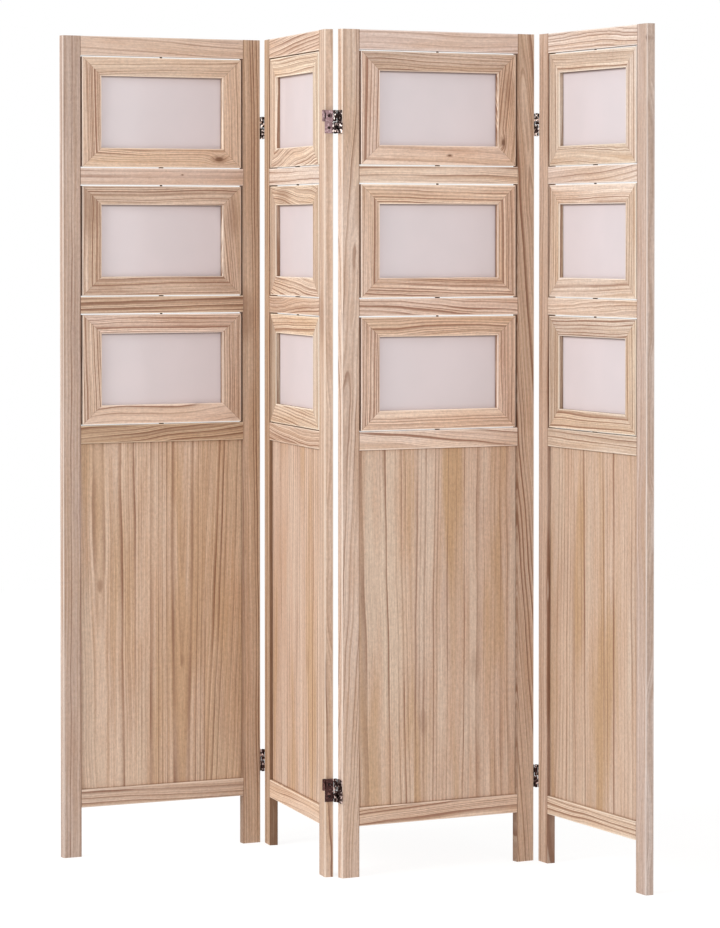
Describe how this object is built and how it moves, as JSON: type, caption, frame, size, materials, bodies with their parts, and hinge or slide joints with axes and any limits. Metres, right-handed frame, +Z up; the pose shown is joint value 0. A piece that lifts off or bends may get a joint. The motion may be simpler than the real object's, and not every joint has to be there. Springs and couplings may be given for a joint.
{
  "type": "folding room divider with swivelling photo frames",
  "caption": "Folding wooden room divider whose panels hold swivelling photo frames above a solid lower board and join on double-action hinges.",
  "frame": {"origin": "centre of the screen's footprint as it stands folded in a zigzag, on the floor", "axes": "+Z up, fronts of the panels towards -Y, the first panel at -X and the fourth at +X"},
  "size_m": [1.193, 0.6642, 1.7],
  "materials": {
    "frame_wood": "matt clear lacquer on planed softwood",
    "board_wood": "matt clear lacquer, vertical grain",
    "photo_frame_wood": "matt clear lacquer on mitred members",
    "pane": "clear sheet over a plain pale card",
    "hinge_bronze": "dark antique bronze",
    "dark_steel": "dark blackened steel"
  },
  "bodies": {
    "panel_1": {"panel_1_left_stile": "frame_wood", "panel_1_right_stile": "frame_wood", "panel_1_rails": "frame_wood", "panel_1_board": "board_wood", "panel_1_pivots": "dark_steel", "panel_1_hinge_leaves": "hinge_bronze", "panel_1_hinge_straps": "hinge_bronze", "panel_1_hinge_pins": "dark_steel", "panel_1_hinge_screws": "dark_steel"},
    "panel_2": {"panel_2_left_stile": "frame_wood", "panel_2_right_stile": "frame_wood", "panel_2_rails": "frame_wood", "panel_2_board": "board_wood", "panel_2_pivots": "dark_steel", "panel_2_hinge_leaves": "hinge_bronze", "panel_2_hinge_straps": "hinge_bronze", "panel_2_hinge_pins": "dark_steel", "panel_2_hinge_screws": "dark_steel"},
    "panel_3": {"panel_3_left_stile": "frame_wood", "panel_3_right_stile": "frame_wood", "panel_3_rails": "frame_wood", "panel_3_board": "board_wood", "panel_3_pivots": "dark_steel", "panel_3_hinge_leaves": "hinge_bronze", "panel_3_hinge_straps": "hinge_bronze", "panel_3_hinge_pins": "dark_steel", "panel_3_hinge_screws": "dark_steel"},
    "panel_4": {"panel_4_left_stile": "frame_wood", "panel_4_right_stile": "frame_wood", "panel_4_rails": "frame_wood", "panel_4_board": "board_wood", "panel_4_pivots": "dark_steel", "panel_4_hinge_leaves": "hinge_bronze", "panel_4_hinge_straps": "hinge_bronze", "panel_4_hinge_pins": "dark_steel", "panel_4_hinge_screws": "dark_steel"},
    "frame_1_top": {"frame_1_top_members": "photo_frame_wood", "frame_1_top_glazing": "pane"},
    "frame_1_middle": {"frame_1_middle_members": "photo_frame_wood", "frame_1_middle_glazing": "pane"},
    "frame_1_low": {"frame_1_low_members": "photo_frame_wood", "frame_1_low_glazing": "pane"},
    "frame_2_top": {"frame_2_top_members": "photo_frame_wood", "frame_2_top_glazing": "pane"},
    "frame_2_middle": {"frame_2_middle_members": "photo_frame_wood", "frame_2_middle_glazing": "pane"},
    "frame_2_low": {"frame_2_low_members": "photo_frame_wood", "frame_2_low_glazing": "pane"},
    "frame_3_top": {"frame_3_top_members": "photo_frame_wood", "frame_3_top_glazing": "pane"},
    "frame_3_middle": {"frame_3_middle_members": "photo_frame_wood", "frame_3_middle_glazing": "pane"},
    "frame_3_low": {"frame_3_low_members": "photo_frame_wood", "frame_3_low_glazing": "pane"},
    "frame_4_top": {"frame_4_top_members": "photo_frame_wood", "frame_4_top_glazing": "pane"},
    "frame_4_middle": {"frame_4_middle_members": "photo_frame_wood", "frame_4_middle_glazing": "pane"},
    "frame_4_low": {"frame_4_low_members": "photo_frame_wood", "frame_4_low_glazing": "pane"}
  },
  "joints": [
    {"name": "fold_1_2", "type": "hinge", "parent": "panel_2", "child": "panel_1", "pos_m": [-0.18297, 0.30752, 0], "axis": [0, 0, 1], "range_deg": [-100, 80]},
    {"name": "fold_2_3", "type": "hinge", "parent": "panel_2", "child": "panel_3", "pos_m": [-0.02611, -0.12345, 0], "axis": [0, 0, 1], "range_deg": [-102, 78]},
    {"name": "fold_3_4", "type": "hinge", "parent": "panel_3", "child": "panel_4", "pos_m": [0.3861, 0.0776, 0], "axis": [0, 0, -1], "range_deg": [-94, 86]},
    {"name": "swivel_1_top", "type": "hinge", "parent": "panel_1", "child": "frame_1_top", "pos_m": [-0.39246, 0.21425, 0], "axis": [0, 0, 1], "continuous": true},
    {"name": "swivel_1_middle", "type": "hinge", "parent": "panel_1", "child": "frame_1_middle", "pos_m": [-0.39246, 0.21425, 0], "axis": [0, 0, 1], "continuous": true},
    {"name": "swivel_1_low", "type": "hinge", "parent": "panel_1", "child": "frame_1_low", "pos_m": [-0.39246, 0.21425, 0], "axis": [0, 0, 1], "continuous": true},
    {"name": "swivel_2_top", "type": "hinge", "parent": "panel_2", "child": "frame_2_top", "pos_m": [-0.10454, 0.09203, 0], "axis": [0, 0, 1], "continuous": true},
    {"name": "swivel_2_middle", "type": "hinge", "parent": "panel_2", "child": "frame_2_middle", "pos_m": [-0.10454, 0.09203, 0], "axis": [0, 0, 1], "continuous": true},
    {"name": "swivel_2_low", "type": "hinge", "parent": "panel_2", "child": "frame_2_low", "pos_m": [-0.10454, 0.09203, 0], "axis": [0, 0, 1], "continuous": true},
    {"name": "swivel_3_top", "type": "hinge", "parent": "panel_3", "child": "frame_3_top", "pos_m": [0.17999, -0.02293, 0], "axis": [0, 0, 1], "continuous": true},
    {"name": "swivel_3_middle", "type": "hinge", "parent": "panel_3", "child": "frame_3_middle", "pos_m": [0.17999, -0.02293, 0], "axis": [0, 0, 1], "continuous": true},
    {"name": "swivel_3_low", "type": "hinge", "parent": "panel_3", "child": "frame_3_low", "pos_m": [0.17999, -0.02293, 0], "axis": [0, 0, 1], "continuous": true},
    {"name": "swivel_4_top", "type": "hinge", "parent": "panel_4", "child": "frame_4_top", "pos_m": [0.49375, -0.12487, 0], "axis": [0, 0, 1], "continuous": true},
    {"name": "swivel_4_middle", "type": "hinge", "parent": "panel_4", "child": "frame_4_middle", "pos_m": [0.49375, -0.12487, 0], "axis": [0, 0, 1], "continuous": true},
    {"name": "swivel_4_low", "type": "hinge", "parent": "panel_4", "child": "frame_4_low", "pos_m": [0.49375, -0.12487, 0], "axis": [0, 0, 1], "continuous": true}
  ]
}
